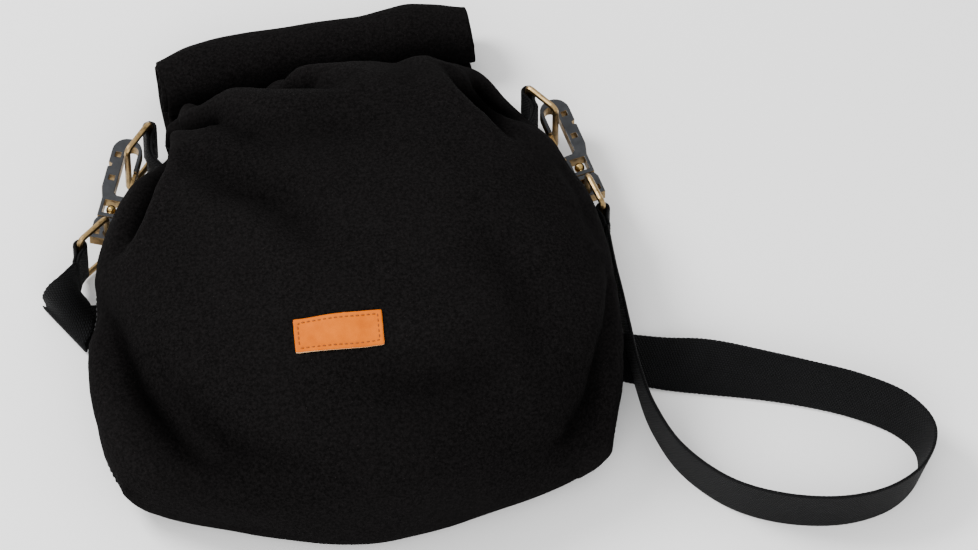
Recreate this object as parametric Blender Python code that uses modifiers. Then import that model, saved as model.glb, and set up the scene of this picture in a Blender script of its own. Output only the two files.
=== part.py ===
"""Roll-top canvas bag with a clip-on shoulder strap, lying on its back.

Frame: X across the bag, Y up the bag towards the rolled mouth, Z up out of the front panel.
The origin is on the flat of the back panel, which rests on the plane Z = 0.
"""
import bmesh
import bpy
from math import atan2, cos, degrees, pi, radians, sin, sqrt
from mathutils import Matrix, Vector

MM = 0.001

# Bag body: one row for each cross-section, from the base to the neck.
# (y of the side seams, x of the left seam, x of the right seam, height, seam height)
SECTIONS = (
    (-121, -138, 124, 58, 20),
    (-100, -146, 131, 78, 28),
    (-68, -149, 136, 92, 36),
    (-30, -147, 136, 98, 40),
    (8, -139, 131, 97, 40),
    (44, -124, 120, 92, 36),
    (74, -107, 107, 86, 30),
    (96, -97, 94, 76, 24),
    (111, -93, 83, 60, 17),
    (118.5, -91, 78, 38, 12),
    (122, -90, 75, 17, 8.5),
)
BASE_BULGE = 38          # how far the middle of the base stands out past its corners
BULGE_POWER = 1.4        # exponent across the base of that bulge
BULGE_END = 8            # the Y where the bulge has died away
NECK_SKEW = 0.105        # slope of the neck and the roll across the bag
SKEW_START = 44
FLAT_SHARE = 0.72        # share of the half width that lies flat on the back
ROUND = 0.8              # exponent of the rounded front section
CLOTH = 2.4              # canvas with its lining
SEAM_GAP = 2.0           # each panel stops this far from the seam line
BASE_GAP = 0.8           # between the base panel and the rims of the two others
BASE_END = 10.2          # how far the base panel stops short of each corner
BASE_SAG = 1.5           # outward curve of the base panel between its rims
STRAP_CHANNEL = 4.0      # lift of the back panel over the strap that lies under it
CHANNEL_FLAT = 21
CHANNEL_END = 31

# Roll-top
ROLL_LENGTH = 171
ROLL_RADIUS = 18
ROLL_CORE = 5
ROLL_PITCH = 5.0
ROLL_CLOTH = 3.2
ROLL_CENTRE = (-9.4, 143.5)
ROLL_REST = 0.4          # clearance of the roll over the surface it rests on
TAIL_END = 124.4
STIFFENER = (150, 5.0, 1.2)

# Label
LABEL_SIZE = (47, 19, 1.4)
LABEL_CENTRE = (-16.9, -80.5)
LABEL_TILT = -0.5
LABEL_GAP = 0.6

# Webbing and hardware
WEBBING = (30, 1.8)
HARDWARE_Z = 22
WIRE = 1.8               # radius of the ring wire
RING_HEIGHT = 37         # between the centres of the two rails
RING_CORNER = 3
LOOP_GAP = 0.4
HOOK_THICK = 7
HOOK_HALF = 8.0
LEG = 2.0                # thickness of the nose leg and the gate
SLOT = (-6.5, 0.5)
NOSE_Y = 37
LEG_TIP = 24.7
GATE_PIVOT = (-7.5, 5.2)
GATE_TIP = 24.2
KNUCKLE = 1.9
PIN_R = 1.0
FRAME_HALF = 6.2
FRAME_WINDOW = 4.2
FRAME_LOW = -6.6
BALL_R = 2.8
POST_R = 1.4
POST_HOLE = 1.75
SHACKLE = (7.0, -7.2, -21.0)
SLOT_MIDDLE = -3.0
EYE = (-2.0, -17.0)
EYE_R = 2.5
WINDOW = 3.2

# Each side: loop bar, outer bar of the anchor ring, how far up the hook that bar sits, and headings
# in degrees: of the anchor webbing away from its loop, of the hook from the swivel to its nose, of
# the strap ring away from the hook, and of the strap away from that ring.
SIDES = {
    "right": {"sign": 1, "loop": (103.2, 101.3), "ring": (116.5, 85.5), "seat": 29,
              "anchor_heading": -71.5, "hook_heading": 104.5, "ring_heading": -72.5,
              "strap_heading": -84},
    "left": {"sign": -1, "loop": (-103.5, 99.5), "ring": (-117.0, 82.5), "seat": 27.5,
             "anchor_heading": -94, "hook_heading": 72, "ring_heading": -139,
             "strap_heading": -107},
}
ANCHOR_LEGS = 14
STRAP_RING_LENGTH = 20.5
SLANT = 0.66             # sine of the sharpest slant across the strap in the fold
FOLD_LEGS = 11           # length of the two layers behind the ring at each strap end

# Shoulder strap: points of its centre line, and how far its upper edge leans outwards, in degrees
STRAP_ROUTE = (
    (136.35, 10.3, 22, 0), (137.8, -14, 21.2, 0), (139.8, -32, 19.4, 0), (141.6, -52, 17.4, 0),
    (144, -76, 16.0, 0), (149, -101, 15.6, 0), (161, -128, 15.5, 0), (183, -151, 15.5, 0),
    (210, -164, 15.5, 0), (241, -169, 15.5, 2), (268, -164, 15.4, 6), (286.5, -149.5, 15.2, 12),
    (292, -130, 14.9, 18), (281, -112, 14.6, 21), (259, -98, 14.5, 22), (232, -87, 14.4, 24),
    (204, -77, 13.2, 34), (180, -68, 9.7, 55), (158, -60, 4.4, 78), (136, -52, 1.5, 90),
    (110, -47, 1.3, 90), (75, -42, 1.3, 90), (38, -38, 1.3, 90), (0, -33, 1.3, 90),
    (-38, -26, 1.3, 90), (-75, -18, 1.3, 90), (-110, -10.5, 1.3, 90), (-132, -6.4, 1.4, 90),
)
# The diagonal fold that brings the strap back up to the left ring: points, and the direction of the
# line across the strap at each, which is slanted in the fold
STRAP_TURN = (
    ((-146, -4.2, 1.4), (-0.45, 0.89, 0)),
    ((-154.5, -3.6, 1.4), (-0.56, 0.83, 0)),
    ((-158.9, -4.2, 2.9), (-0.56, 0.83, 0)),
    ((-158, -1.4, 5.2), (-0.62, 0.78, 0.02)),
    ((-156, 4.2, 12.2), (-0.78, 0.3, 0.46)),
    ((-153.2, 10.2, 19.4), (-0.5, -0.05, 0.86)),
    ((-150.65, 15.7, 22.0), (0, 0, 1)),
)

COLOURS = {
    "canvas": ((0.012, 0.012, 0.013), 0.9, 0.0),
    "webbing": ((0.010, 0.011, 0.014), 0.8, 0.0),
    "leather": ((0.62, 0.20, 0.045), 0.55, 0.0),
    "brass": ((0.52, 0.36, 0.17), 0.35, 1.0),
    "gunmetal": ((0.20, 0.20, 0.21), 0.4, 1.0),
    "steel": ((0.55, 0.55, 0.55), 0.3, 1.0),
    "stiffener": ((0.05, 0.05, 0.05), 0.5, 0.0),
}


def clear_scene():
    for old in list(bpy.data.objects):
        bpy.data.objects.remove(old, do_unlink=True)


def new_collection(name):
    made = bpy.data.collections.new(name)
    bpy.context.scene.collection.children.link(made)
    return made


# ---------------------------------------------------------------- curves

def smooth(rows, t):
    """Value at t of a Catmull-Rom curve through the rows, which are at t = 0, 1, 2 and so on."""
    last = len(rows) - 1
    i = min(int(t), last - 1)
    f = t - i
    ends = (max(i - 1, 0), i, i + 1, min(i + 2, last))
    p0, p1, p2, p3 = (Vector(rows[k]) for k in ends)
    bend = 2 * p0 - 5 * p1 + 4 * p2 - p3
    twist = 3 * p1 - p0 - 3 * p2 + p3
    return p1 + 0.5 * f * ((p2 - p0) + f * (bend + f * twist))


def ease(value, start, end):
    """0 before start, 1 after end, and a smooth step between them."""
    share = min(max((value - start) / (end - start), 0), 1)
    return share * share * (3 - 2 * share)


def signed_power(value, exponent):
    return (1 if value >= 0 else -1) * abs(value) ** exponent


# ---------------------------------------------------------------- bag body

def channel_lift(x, y):
    """Lift of the back panel over the strap under it."""
    rows = [Vector(row[:2]) for row in STRAP_ROUTE if row[3] > 50]
    rows.append(Vector(STRAP_TURN[0][0][:2]))
    point = Vector((x, y))
    nearest = 1000
    for a, b in zip(rows, rows[1:]):
        share = min(max((point - a).dot(b - a) / (b - a).length_squared, 0), 1)
        nearest = min(nearest, (point - a - share * (b - a)).length)
    return STRAP_CHANNEL * (1 - ease(nearest, CHANNEL_FLAT, CHANNEL_END))


def body_point(t, across, z):
    """A point at a station t, at a share of the half width, bulged and skewed."""
    y, left, right = section(t)[:3]
    x = (left + right) / 2 + across * (right - left) / 2
    bulge = BASE_BULGE * (1 - ease(y, SECTIONS[0][0], BULGE_END))
    skew = NECK_SKEW * x * ease(y, SKEW_START, SECTIONS[-1][0])
    return Vector((x, y - bulge * (1 - abs(across) ** BULGE_POWER) + skew, z))


def section(t):
    """Side seam Y, left X, right X, height and seam height at station t."""
    return smooth(SECTIONS, t)


def front_point(t, angle):
    _, left, right, height, seam = section(t)
    across = signed_power(cos(angle), ROUND)
    rise = (height - seam - SEAM_GAP) * abs(sin(angle)) ** ROUND
    return body_point(t, across, seam + SEAM_GAP + rise)


def back_point(t, share):
    """share runs from -1 at the left seam to 1 at the right seam, flat in the middle."""
    _, left, right, height, seam = section(t)
    edge = max(abs(share) - 0.5, 0) / 0.5
    turn = edge * pi / 2
    across = FLAT_SHARE * min(abs(share) / 0.5, 1) + (1 - FLAT_SHARE) * sin(turn)
    point = body_point(t, across if share >= 0 else -across, (seam - SEAM_GAP) * (1 - cos(turn)))
    point.z += channel_lift(point.x, point.y) * cos(turn)
    return point


def grid_object(name, point, rows, columns, thickness=CLOTH, inward=True):
    """A cloth shell: a grid of point(i, j), thickened towards the inside."""
    made = bmesh.new()
    verts = [[made.verts.new(point(i, j) * MM) for j in range(columns + 1)] for i in range(rows + 1)]
    for i in range(rows):
        for j in range(columns):
            made.faces.new((verts[i][j], verts[i][j + 1], verts[i + 1][j + 1], verts[i + 1][j]))
    shell = mesh_object(name, made)
    solid = shell.modifiers.new("thickness", "SOLIDIFY")
    solid.thickness = thickness * MM
    solid.offset = -1 if inward else 1
    solid.use_even_offset = True
    return shell


def front_panel():
    rows, columns = 16, 22
    last = len(SECTIONS) - 1

    def point(i, j):
        return front_point(last * i / rows, pi * (1 - j / columns))

    return grid_object("front_panel", point, rows, columns)


def back_panel():
    rows, columns = 27, 24
    last = len(SECTIONS) - 1

    def point(i, j):
        return back_point(last * i / rows, 1 - 2 * j / columns)

    return grid_object("back_panel", point, rows, columns)


def base_panel():
    """Closes the base just inside the rims of the two panels."""
    rows, columns = 4, 20
    inset = CLOTH + BASE_GAP
    _, left, right, height, seam = section(0)
    half = (right - left) / 2

    def point(i, j):
        across = (2 * j / columns - 1) * (1 - BASE_END / half)
        high = seam + (height - seam) * (1 - abs(across) ** (2 / ROUND)) ** (ROUND / 2)
        edge = max(abs(across) - FLAT_SHARE, 0) / (1 - FLAT_SHARE)
        low = seam * (1 - sqrt(1 - edge * edge))
        z = low + inset + (high - low - 2 * inset) * i / rows
        spot = body_point(0, across, z)
        spot.y += inset + BASE_GAP - BASE_SAG * sin(pi * i / rows)
        return spot

    return grid_object("base_panel", point, rows, columns)


# ---------------------------------------------------------------- mesh helpers

def mesh_object(name, made, parent=None):
    mesh = bpy.data.meshes.new(name)
    made.to_mesh(mesh)
    made.free()
    shown = bpy.data.objects.new(name, mesh)
    PARTS.objects.link(shown)
    if parent:
        shown.parent = parent
    return shown


def outline_object(name, outer, holes=(), half=HOOK_THICK / 2, parent=None, collection=None, lift=0.0):
    """A flat plate cut to an outline, in its parent's XY plane, as a welded mesh."""
    curve = bpy.data.curves.new(name, "CURVE")
    curve.dimensions = "2D"
    curve.fill_mode = "BOTH"
    curve.extrude = half * MM
    for ring in (outer, *holes):
        spline = curve.splines.new("POLY")
        spline.points.add(len(ring) - 1)
        for spot, (x, y) in zip(spline.points, ring):
            spot.co = (x * MM, y * MM, 0, 1)
        spline.use_cyclic_u = True
    guide = bpy.data.objects.new(name + "_outline", curve)
    bpy.context.scene.collection.objects.link(guide)
    evaluated = guide.evaluated_get(bpy.context.evaluated_depsgraph_get())
    mesh = bpy.data.meshes.new_from_object(evaluated)
    bpy.data.objects.remove(guide, do_unlink=True)
    made = bmesh.new()
    made.from_mesh(mesh)
    bmesh.ops.remove_doubles(made, verts=made.verts, dist=0.00001)
    bmesh.ops.translate(made, verts=made.verts, vec=(0, 0, lift * MM))
    bmesh.ops.recalc_face_normals(made, faces=made.faces)
    made.to_mesh(mesh)
    made.free()
    mesh.name = name
    plate = bpy.data.objects.new(name, mesh)
    (collection or PARTS).objects.link(plate)
    plate.parent = parent
    return plate


def arc(centre, radius, start, end, steps):
    """Points along an arc, with its angles in degrees."""
    turns = [radians(start + (end - start) * k / steps) for k in range(steps + 1)]
    return [(centre[0] + radius * cos(a), centre[1] + radius * sin(a)) for a in turns]


def box_ring(x0, y0, x1, y1):
    return [(x0, y0), (x1, y0), (x1, y1), (x0, y1)]


def cylinder_object(name, radius, low, high, spot, axis="Z", parent=None, sides=20, collection=None):
    """A round bar between low and high along the parent's axis, through spot."""
    made = bmesh.new()
    turn = Matrix() if axis == "Z" else Matrix.Rotation(-pi / 2, 4, "X")
    middle = Vector((0, 0, (low + high) / 2))
    place = Matrix.Translation(Vector(spot) * MM) @ turn @ Matrix.Translation(middle * MM)
    bmesh.ops.create_cone(made, cap_ends=True, segments=sides, radius1=radius * MM, radius2=radius * MM,
                          depth=(high - low) * MM, matrix=place)
    bar = mesh_object(name, made, parent)
    if collection:
        PARTS.objects.unlink(bar)
        collection.objects.link(bar)
    return bar


def box_object(name, low, high, parent, collection=None):
    made = bmesh.new()
    middle = (Vector(low) + Vector(high)) / 2 * MM
    size = (Vector(high) - Vector(low)) * MM
    bmesh.ops.create_cube(made, size=1, matrix=Matrix.Translation(middle) @ Matrix.Diagonal((*size, 1)))
    block = mesh_object(name, made, parent)
    if collection:
        PARTS.objects.unlink(block)
        collection.objects.link(block)
    return block


def combine(target, other, operation="DIFFERENCE"):
    other.hide_render = True
    other.display_type = "WIRE"
    cut = target.modifiers.new(other.name, "BOOLEAN")
    cut.operation = operation
    cut.object = other
    cut.solver = "EXACT"


def soften(target, width, segments=2, angle=40):
    bevel = target.modifiers.new("edges", "BEVEL")
    bevel.width = width * MM
    bevel.segments = segments
    bevel.limit_method = "ANGLE"
    bevel.angle_limit = radians(angle)


def wire_object(name, points, radius, resolution, closed, parent=None):
    curve = bpy.data.curves.new(name, "CURVE")
    curve.dimensions = "3D"
    curve.bevel_depth = radius * MM
    curve.bevel_resolution = resolution
    curve.use_fill_caps = True
    spline = curve.splines.new("POLY")
    spline.points.add(len(points) - 1)
    for spot, place in zip(spline.points, points):
        spot.co = (*(Vector(place) * MM), 1)
    spline.use_cyclic_u = closed
    wire = bpy.data.objects.new(name, curve)
    PARTS.objects.link(wire)
    wire.parent = parent
    return wire


def frame_empty(name, spot, heading, flip=False):
    """An empty on a joint's axis, whose Y runs along the heading; flip turns it over."""
    empty = bpy.data.objects.new(name, None)
    PARTS.objects.link(empty)
    along = Vector((cos(radians(heading)), sin(radians(heading)), 0))
    up = Vector((0, 0, -1 if flip else 1))
    across = along.cross(up)
    turn = Matrix((across, along, up)).transposed().to_4x4()
    empty.matrix_world = Matrix.Translation(Vector(spot) * MM) @ turn
    return empty


# ---------------------------------------------------------------- label, roll and ribbons

def station_at(x, y):
    """Station and share across of the front panel's point over x, y."""
    last = len(SECTIONS) - 1
    low, high = 0.0, float(last)
    for _ in range(40):
        t = (low + high) / 2
        _, left, right, _, _ = section(t)
        across = (x - (left + right) / 2) / ((right - left) / 2)
        if body_point(t, across, 0).y < y:
            low = t
        else:
            high = t
    return t, across


def front_height(x, y):
    t, across = station_at(x, y)
    _, _, _, height, seam = section(t)
    side = min(abs(across), 1) ** (1 / ROUND)
    return seam + (height - seam) * sqrt(1 - side * side) ** ROUND


def label():
    rows, columns = 4, 8
    width, height, thickness = LABEL_SIZE
    turn = radians(LABEL_TILT)

    def point(i, j):
        u = width * (j / columns - 0.5)
        v = height * (i / rows - 0.5)
        x = LABEL_CENTRE[0] + u * cos(turn) - v * sin(turn)
        y = LABEL_CENTRE[1] + u * sin(turn) + v * cos(turn)
        return Vector((x, y, front_height(x, y) + LABEL_GAP))

    return grid_object("label", point, rows, columns, thickness, inward=False)


def strip_outline(centre, thickness):
    """The outline of a strip of even thickness along a centre line in a plane."""
    left, right = [], []
    for k, spot in enumerate(centre):
        before = Vector(centre[max(k - 1, 0)])
        after = Vector(centre[min(k + 1, len(centre) - 1)])
        side = (after - before).normalized().orthogonal() * thickness / 2
        left.append(tuple(Vector(spot) + side))
        right.append(tuple(Vector(spot) - side))
    return left + right[::-1]


def roll_axis_frame():
    """Object matrix whose X is along the roll, Y up and Z out of the plane of the strip outline."""
    slope = atan2(NECK_SKEW, 1)
    spot = Vector((*ROLL_CENTRE, ROLL_RADIUS + ROLL_REST)) * MM
    return Matrix.Translation(spot) @ Matrix.Rotation(slope, 4, "Z")


def upright_plane():
    """Turns a plate's XY plane into the YZ plane, with its thickness along X."""
    return Matrix(((0, 0, 1, 0), (1, 0, 0, 0), (0, 1, 0, 0), (0, 0, 0, 1)))


def roll_top():
    turns = (ROLL_RADIUS - ROLL_CLOTH / 2 - ROLL_CORE) / ROLL_PITCH
    steps = int(turns * 20)
    end = -pi / 2
    centre = []
    for k in range(steps + 1):
        angle = end + 2 * pi * turns * (1 - k / steps)
        radius = ROLL_CORE + ROLL_PITCH * turns * k / steps
        centre.append((radius * cos(angle), radius * sin(angle)))
    tail = TAIL_END - ROLL_CENTRE[1]
    level = centre[-1][1]
    centre += [(tail * k / 3, level) for k in range(1, 4)]
    roll = outline_object("roll_top", strip_outline(centre, ROLL_CLOTH), half=ROLL_LENGTH / 2)
    roll.matrix_world = roll_axis_frame() @ upright_plane()
    return roll


def mouth_stiffener():
    length, width, thickness = STIFFENER
    strip = outline_object("mouth_stiffener", box_ring(-width / 2, -thickness / 2, width / 2, thickness / 2),
                           half=length / 2)
    strip.matrix_world = roll_axis_frame() @ upright_plane()
    return strip


def ribbon_object(name, spots, widths):
    """A flat strap swept along points, with the direction of its width at each."""
    width, thickness = WEBBING
    made = bmesh.new()
    rings = []
    for k, spot in enumerate(spots):
        along = (spots[min(k + 1, len(spots) - 1)] - spots[max(k - 1, 0)]).normalized()
        side = widths[k].normalized()
        face = along.cross(side)
        side = side / max(face.length, SLANT)
        face.normalize()
        corners = ((1, 1), (-1, 1), (-1, -1), (1, -1))
        ring = [spot + side * a * width / 2 + face * b * thickness / 2 for a, b in corners]
        rings.append([made.verts.new(corner * MM) for corner in ring])
    for first, second in zip(rings, rings[1:]):
        for k in range(4):
            made.faces.new((first[k], second[k], second[(k + 1) % 4], first[(k + 1) % 4]))
    made.faces.new(rings[0])
    made.faces.new(rings[-1][::-1])
    bmesh.ops.recalc_face_normals(made, faces=made.faces)
    return mesh_object(name, made)


def shoulder_strap():
    rows = [Vector((*row[:3], 0, 0, 0)) for row in STRAP_ROUTE]
    spots = [Vector(row[:3]) for row in STRAP_ROUTE]
    for k, row in enumerate(rows):
        along = (spots[min(k + 1, len(spots) - 1)] - spots[max(k - 1, 0)]).normalized()
        outward = along.cross(Vector((0, 0, 1))).normalized()
        lean = radians(STRAP_ROUTE[k][3])
        row[3:6] = Vector((0, 0, cos(lean))) + outward * sin(lean)
    rows += [Vector((*spot, *edge)) for spot, edge in STRAP_TURN]
    steps = 2 * (len(rows) - 1)
    path = [smooth(rows, k / 2) for k in range(steps + 1)]
    return ribbon_object("shoulder_strap", [p.xyz for p in path], [Vector(p[3:6]) for p in path])


# ---------------------------------------------------------------- hardware

def fold_strip(name, bar, heading, legs):
    """Webbing folded round an upright bar, its two layers running off along the heading."""
    width, thickness = WEBBING
    radius = WIRE + LOOP_GAP + thickness / 2
    along = Vector((cos(radians(heading)), sin(radians(heading))))
    side = Vector((-along.y, along.x))
    inner = thickness / 2 + LOOP_GAP / 2
    centre = [Vector(bar) + along * legs + side * inner]
    centre += [Vector(bar) + along * (radius + 3) + side * inner]
    for angle in range(50, 311, 20):
        turn = radians(angle)
        centre.append(Vector(bar) + radius * (cos(turn) * along + sin(turn) * side))
    centre += [Vector(bar) + along * (radius + 3) - side * inner]
    centre += [Vector(bar) + along * legs - side * inner]
    return outline_object(name, strip_outline([tuple(p) for p in centre], thickness), half=width / 2,
                          lift=HARDWARE_Z)


def anchor_webbing(side, place):
    """The strip sewn to the flank of the bag, with its loop round the anchor ring."""
    return fold_strip(f"{side}_anchor_webbing", place["loop"], place["anchor_heading"], ANCHOR_LEGS)


def rectangular_ring(name, parent, length):
    """Wire ring whose first bar is at the parent's origin and whose other bar is at +Y."""
    c = RING_CORNER
    high = RING_HEIGHT / 2 - c
    corners = ((length - c, high), (c, high), (c, -high), (length - c, -high))
    points = []
    for k, corner in enumerate(corners):
        points += [(0, y, z) for y, z in arc(corner, c, 90 * k, 90 * k + 90, 3)]
    return wire_object(name, points, WIRE, 2, True, parent)


def shifted(points, by):
    return [(x - by[0], y - by[1]) for x, y in points]


def hook_outline():
    left, right = SLOT
    middle = (left + right) / 2
    outer = [(-FRAME_HALF, FRAME_LOW), (FRAME_HALF, FRAME_LOW), (FRAME_HALF, 5), (HOOK_HALF, 12),
             (HOOK_HALF, 25.5), (HOOK_HALF - 2, 26.3), (HOOK_HALF - 2, 27.7), (HOOK_HALF, 28.5)]
    outer += arc(((HOOK_HALF + left - LEG) / 2, NOSE_Y), (HOOK_HALF - left + LEG) / 2, 0, 180, 12)
    outer += [(left - LEG, LEG_TIP), (left, LEG_TIP)]
    outer += arc((middle, NOSE_Y), (right - left) / 2, 180, 0, 8)
    outer += [(right, 9.5), (right - 2, 7.8), (-5.0, 7.6)]
    outer += arc(GATE_PIVOT, KNUCKLE + 0.1, 70, 230, 6)
    return outer


def hook_body(name, parent):
    half = WINDOW / 2
    windows = [box_ring(4 - half, y - half, 4 + half, y + half) for y in (18.7, 34)]
    inner = FRAME_WINDOW
    body = outline_object(name, hook_outline(), (*windows, box_ring(-inner, -inner, inner, inner)),
                          parent=parent)
    soften(body, 0.5)
    x, y = GATE_PIVOT
    combine(body, box_object(name + "_clevis_cut", (x - 4, y - 3, -2.3), (-5.2, y + 4, 2.3), parent, CUTTERS))
    combine(body, cylinder_object(name + "_pin_cut", PIN_R + 0.3, -9, 9, (x, y, 0), parent=parent,
                                  collection=CUTTERS))
    combine(body, cylinder_object(name + "_post_cut", POST_HOLE, FRAME_LOW - 2, -FRAME_WINDOW + 2, (0, 0, 0),
                                  axis="Y", parent=parent, collection=CUTTERS))
    return body


def hook_gate(name, parent):
    tip = GATE_TIP - GATE_PIVOT[1]
    half = LEG / 2
    outer = [(half, 4.0), (-half, 4.0)] + arc((0, 0), KNUCKLE, 122, 418, 16)
    hole = arc((0, 0), PIN_R + 0.3, 0, 345, 23)
    gate = outline_object(name, outer, (hole,), half=1.1, parent=parent, lift=-0.9)
    arm = box_object(name + "_arm", (-half, 3.2, -2.0), (half, tip, 2.0), parent, CUTTERS)
    combine(gate, arm, "UNION")
    return gate


def turned_object(name, profile, parent, spot, along_y=False, steps=20):
    """A solid turned about Z from a profile of (radius, height), top to bottom."""
    made = bmesh.new()
    verts = [made.verts.new((r * MM, 0, h * MM)) for r, h in profile]
    for first, second in zip(verts, verts[1:]):
        made.edges.new((first, second))
    turned = mesh_object(name, made, parent)
    turned.location = Vector(spot) * MM
    if along_y:
        turned.rotation_euler = (-pi / 2, 0, 0)
    screw = turned.modifiers.new("turn", "SCREW")
    screw.steps = steps
    screw.render_steps = steps
    screw.use_merge_vertices = True
    screw.merge_threshold = 0.00001
    return turned


def gate_pin(name, parent):
    end = HOOK_THICK / 2 + 0.3
    profile = [(0, end + 0.6), (1.3, end + 0.5), (1.8, end + 0.1), (1.8, end), (PIN_R, end)]
    profile += [(r, -h) for r, h in profile[::-1]]
    return turned_object(name, profile, parent, (0, 0, 0))


def gate_spring(name, parent):
    turns, radius, low, high = 2.5, 1.6, 0.75, 1.85
    steps = int(turns * 12)
    points = [(radius * cos(2 * pi * turns * k / steps), radius * sin(2 * pi * turns * k / steps),
               low + (high - low) * k / steps) for k in range(steps + 1)]
    return wire_object(name, points, 0.16, 1, False, parent)


def swivel_post(name, parent):
    profile = [(BALL_R * cos(radians(a)), BALL_R * sin(radians(a))) for a in range(90, -61, -15)]
    profile[0] = (0, BALL_R)
    profile += [(POST_R, -10.1), (2.3, -10.1), (2.3, -11.7), (0, -11.7)]
    return turned_object(name, profile, parent, (-EYE[0], -EYE[1], 0), along_y=True)


def swivel_shackle(name, parent):
    half, high, low = SHACKLE
    outer = [(-half, low), (half, low), (half, high - 3), (half - 1.5, high), (1.5 - half, high),
             (-half, high - 3)]
    window = box_ring(-3.2, -12.9, 3.2, -9.8)
    light = box_ring(2.4, -18.6, 2.4 + WINDOW, -18.6 + WINDOW)
    holes = [shifted(ring, EYE) for ring in (window, light)] + [arc((0, 0), EYE_R, 0, 345, 23)]
    shackle = outline_object(name, shifted(outer, EYE), holes, parent=parent)
    soften(shackle, 0.5)
    combine(shackle, cylinder_object(name + "_post_cut", POST_HOLE, high - 4 - EYE[1], high + 2 - EYE[1],
                                     (-EYE[0], 0, 0), axis="Y", parent=parent, collection=CUTTERS))
    return shackle


def shoulder_hardware(side, place):
    flip = place["sign"] < 0
    level = HARDWARE_Z
    loop, ring = Vector(place["loop"]), Vector(place["ring"])
    heading = degrees(atan2(ring.y - loop.y, ring.x - loop.x))
    anchor = frame_empty(f"{side}_anchor_axis", (*loop, level), heading)
    rectangular_ring(f"{side}_anchor_ring", anchor, (ring - loop).length)
    anchor_webbing(side, place)

    swivel = frame_empty(f"{side}_swivel_axis", (0, 0, 0), place["hook_heading"], flip)
    turn = swivel.matrix_world.to_3x3()
    seat = Vector((*ring, level)) - turn @ Vector((SLOT_MIDDLE, place["seat"], 0))
    swivel.matrix_world = Matrix.Translation(seat * MM) @ turn.to_4x4()
    hook_body(f"{side}_hook_body", swivel)

    def axis_at(name, spot, heading):
        return frame_empty(name, seat + turn @ Vector((*spot, 0)), heading, flip)

    pivot = axis_at(f"{side}_gate_axis", GATE_PIVOT, place["hook_heading"])
    hook_gate(f"{side}_hook_gate", pivot)
    gate_pin(f"{side}_gate_pin", pivot)
    gate_spring(f"{side}_gate_spring", pivot)

    eye = axis_at(f"{side}_eye_axis", EYE, place["hook_heading"])
    swivel_shackle(f"{side}_swivel_shackle", eye)
    swivel_post(f"{side}_swivel_post", eye)

    centre = seat + turn @ Vector((*EYE, 0))
    out = radians(place["ring_heading"])
    bar = centre + Vector((cos(out), sin(out), 0)) * STRAP_RING_LENGTH
    strap = frame_empty(f"{side}_strap_ring_axis", bar, place["ring_heading"] + 180)
    rectangular_ring(f"{side}_strap_ring", strap, STRAP_RING_LENGTH)
    fold_strip(f"{side}_strap_end", bar.xy, place["strap_heading"], FOLD_LEGS)


def finish_materials():
    chosen = {"canvas": ("panel", "roll_top"), "webbing": ("webbing", "strap_end", "shoulder_strap"),
              "leather": ("label",), "gunmetal": ("shackle", "pin"), "steel": ("spring",),
              "stiffener": ("stiffener",), "brass": ("hook", "ring", "post", "gate")}
    made = {}
    for name, (colour, roughness, metallic) in COLOURS.items():
        material = bpy.data.materials.new(name)
        material.use_nodes = True
        shader = material.node_tree.nodes["Principled BSDF"]
        shader.inputs["Base Color"].default_value = (*colour, 1)
        shader.inputs["Roughness"].default_value = roughness
        shader.inputs["Metallic"].default_value = metallic
        made[name] = material
    for part in PARTS.objects:
        if part.type in {"MESH", "CURVE"}:
            slot = next(key for key, words in chosen.items() if any(word in part.name for word in words))
            part.data.materials.clear()
            part.data.materials.append(made[slot])


clear_scene()
PARTS = new_collection("rope_storage_bag")
CUTTERS = new_collection("cutters")
front_panel()
back_panel()
base_panel()
label()
roll_top()
mouth_stiffener()
for side_name, side_place in SIDES.items():
    shoulder_hardware(side_name, side_place)
shoulder_strap()
finish_materials()
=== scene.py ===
"""Looks of the roll-top canvas bag: cloth, webbing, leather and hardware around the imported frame."""
from math import atan2, cos, pi, radians, sin

import bmesh
import bpy
import numpy as np
from mathutils import Matrix, Vector, noise
from mathutils.bvhtree import BVHTree


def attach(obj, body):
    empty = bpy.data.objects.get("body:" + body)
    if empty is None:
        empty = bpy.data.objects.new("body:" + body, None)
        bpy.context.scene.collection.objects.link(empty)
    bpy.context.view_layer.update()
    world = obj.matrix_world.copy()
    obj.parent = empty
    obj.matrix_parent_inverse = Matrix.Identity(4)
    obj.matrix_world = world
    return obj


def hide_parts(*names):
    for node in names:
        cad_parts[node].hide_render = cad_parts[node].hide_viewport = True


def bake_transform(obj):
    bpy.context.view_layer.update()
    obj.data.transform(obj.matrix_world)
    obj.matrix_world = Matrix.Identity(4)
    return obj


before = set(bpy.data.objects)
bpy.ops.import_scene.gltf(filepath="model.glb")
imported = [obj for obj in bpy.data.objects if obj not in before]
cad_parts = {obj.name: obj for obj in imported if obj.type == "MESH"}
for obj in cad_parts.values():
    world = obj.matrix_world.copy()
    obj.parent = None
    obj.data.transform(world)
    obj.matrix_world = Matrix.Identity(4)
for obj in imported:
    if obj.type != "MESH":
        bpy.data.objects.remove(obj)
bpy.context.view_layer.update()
MM = 0.001

# ---------------------------------------------------------------- driving values, millimetres

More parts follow.
